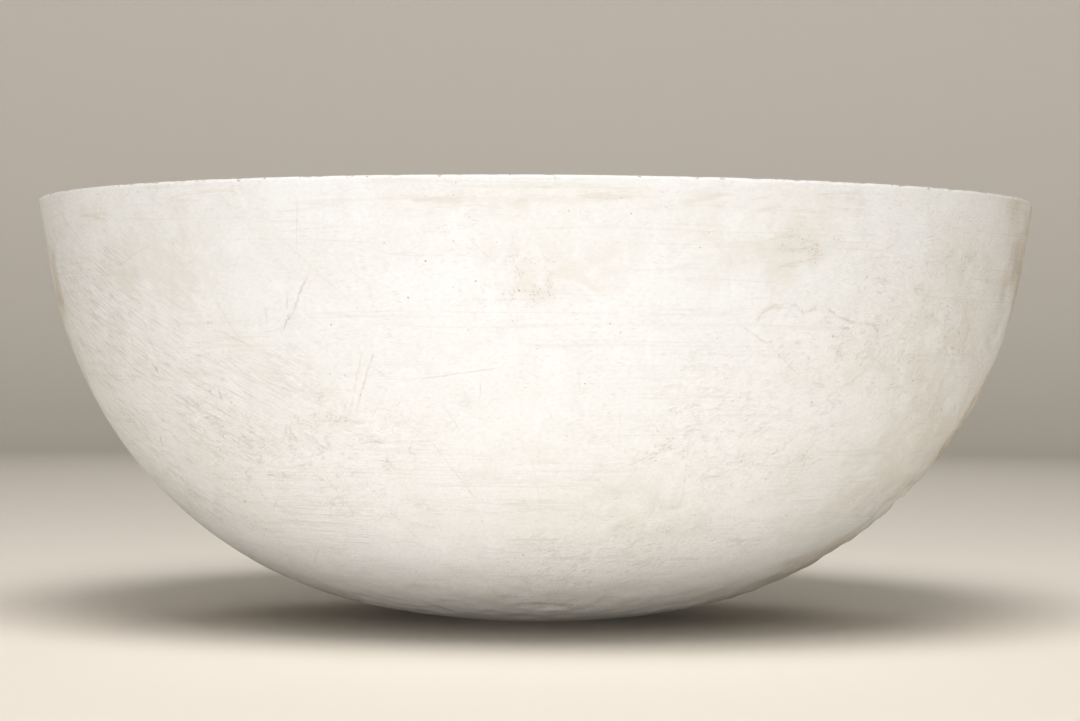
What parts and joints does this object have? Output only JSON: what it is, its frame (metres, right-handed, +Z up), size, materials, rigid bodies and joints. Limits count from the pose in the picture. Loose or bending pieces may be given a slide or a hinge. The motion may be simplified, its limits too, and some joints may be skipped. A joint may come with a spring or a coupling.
{
  "type": "plaster bowl mold",
  "caption": "Deep round plaster bowl mold, open at the rim, with a scraped outside, a smooth working face inside and scrim and wire bedded in the wall.",
  "frame": {"origin": "middle of the flat struck on the crown, which the bowl stands on", "axes": "+Z up through the middle of the open rim; X and Y are level and alike, as the bowl is round"},
  "size_m": [0.4998, 0.4998, 0.2081],
  "materials": {
    "outer_plaster": "matte",
    "face_plaster": "matte",
    "burlap": "matte",
    "galvanised_wire": "satin"
  },
  "bodies": {
    "root": {"outer_coat": "outer_plaster", "face_coat": "face_plaster", "scrim_gore_1": "burlap", "scrim_gore_2": "burlap", "scrim_gore_3": "burlap", "scrim_gore_4": "burlap", "scrim_gore_5": "burlap", "scrim_gore_6": "burlap", "scrim_gore_7": "burlap", "scrim_gore_8": "burlap", "scrim_crown_patch": "burlap", "scrim_rim_strip": "burlap", "rim_hoop": "galvanised_wire", "girth_hoop": "galvanised_wire", "rib_wire_a": "galvanised_wire", "rib_wire_b": "galvanised_wire", "tie_wire_1": "galvanised_wire", "tie_wire_2": "galvanised_wire", "tie_wire_3": "galvanised_wire", "tie_wire_4": "galvanised_wire", "tie_wire_5": "galvanised_wire", "tie_wire_6": "galvanised_wire", "tie_wire_7": "galvanised_wire", "tie_wire_8": "galvanised_wire", "tie_wire_9": "galvanised_wire"}
  },
  "joints": []
}
